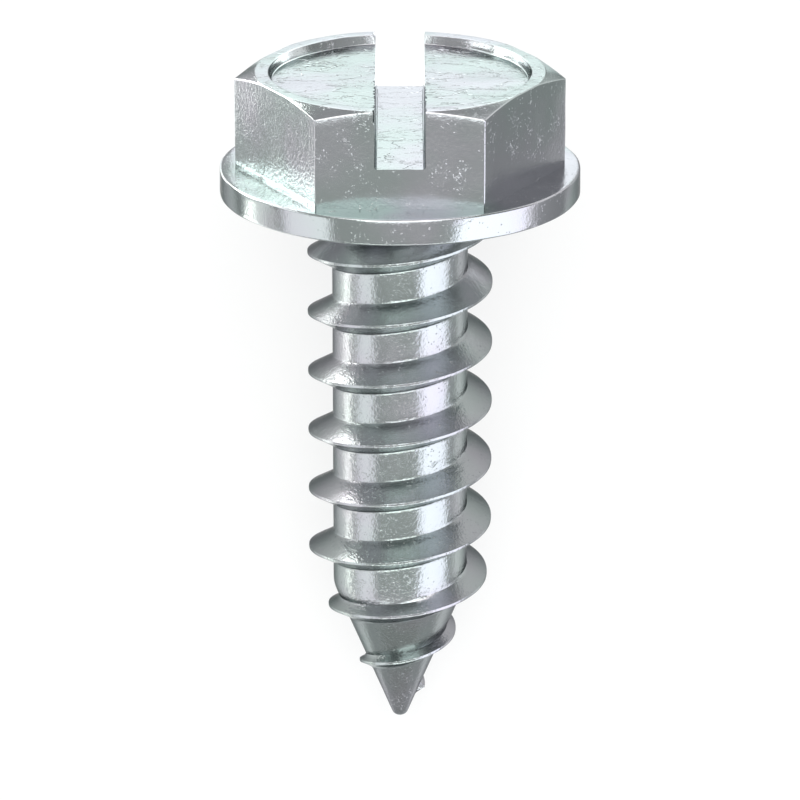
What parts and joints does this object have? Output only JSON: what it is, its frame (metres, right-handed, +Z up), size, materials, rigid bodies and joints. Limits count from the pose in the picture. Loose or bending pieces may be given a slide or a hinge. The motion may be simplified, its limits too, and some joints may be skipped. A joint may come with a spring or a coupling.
{
  "type": "hex washer head sheet metal screw",
  "caption": "Zinc-plated tapping screw with a slotted hexagonal head forged with its washer, a coarse spaced thread on a plain core and a sharp cone point.",
  "frame": {"origin": "middle of the screw's outline on the surface that it lies on", "axes": "+Z up, +Y from the point towards the head, +X across the screw; the axis of the screw rises towards the head by the tilt at which it lies on the rim of its washer and a crest of its thread"},
  "size_m": [0.008, 0.0158, 0.0079],
  "materials": {
    "zinc_plated_steel": "bright clear zinc plating over cold-formed steel, satin, with fine ripples on the formed faces"
  },
  "bodies": {
    "root": {"screw": "zinc_plated_steel"}
  },
  "joints": []
}
